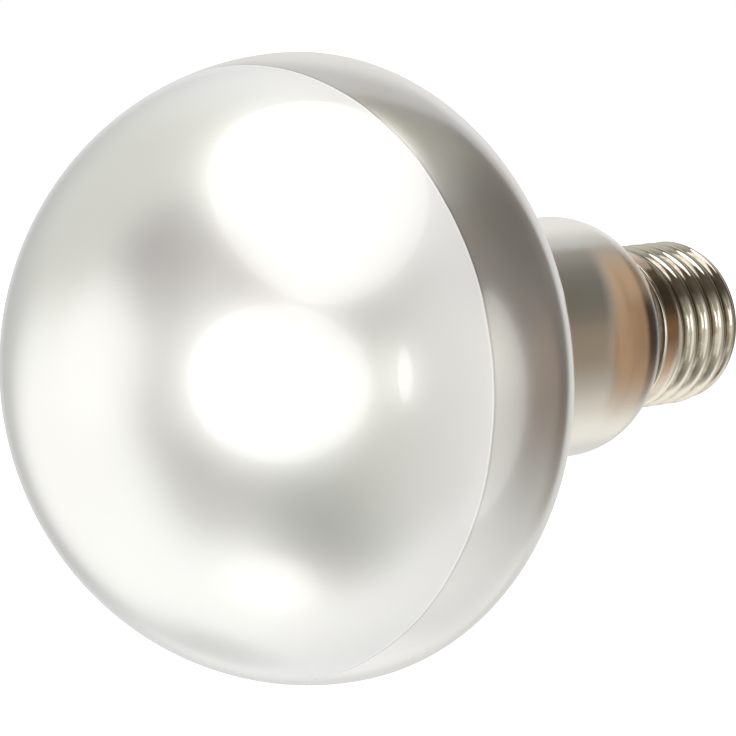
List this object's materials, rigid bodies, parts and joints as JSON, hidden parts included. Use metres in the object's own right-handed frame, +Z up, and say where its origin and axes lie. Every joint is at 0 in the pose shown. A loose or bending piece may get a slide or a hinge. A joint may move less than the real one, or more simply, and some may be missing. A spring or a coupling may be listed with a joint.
{
  "type": "reflector lamp",
  "caption": "Frosted reflector spot lamp with a domed face, mirrored bowl and neck, and a plated screw cap, for warming a basking place from above.",
  "frame": {"origin": "centre of the flat tip of the centre contact's solder, where the lamp seats in its holder", "axes": "+Y along the lamp's axis, out of the cap; the domed face looks along -Y; +Z up, with the lamp held level"},
  "size_m": [0.095, 0.1412, 0.095],
  "materials": {
    "frosted_glass": "satin frosted face over a mirrored bowl",
    "plated_brass": "bright nickel plate",
    "black_glass": "glossy black insulating glass",
    "bare_brass": "plain",
    "solder": "dull grey solder",
    "lead_wire": "plain copper wire",
    "cement": "matt basing cement"
  },
  "bodies": {
    "root": {"glass_envelope": "frosted_glass", "screw_shell": "plated_brass", "cap_insulator": "black_glass", "centre_contact": "bare_brass", "contact_solder": "solder", "side_solder": "solder", "centre_lead": "lead_wire", "side_lead": "lead_wire", "basing_cement": "cement"}
  },
  "joints": []
}
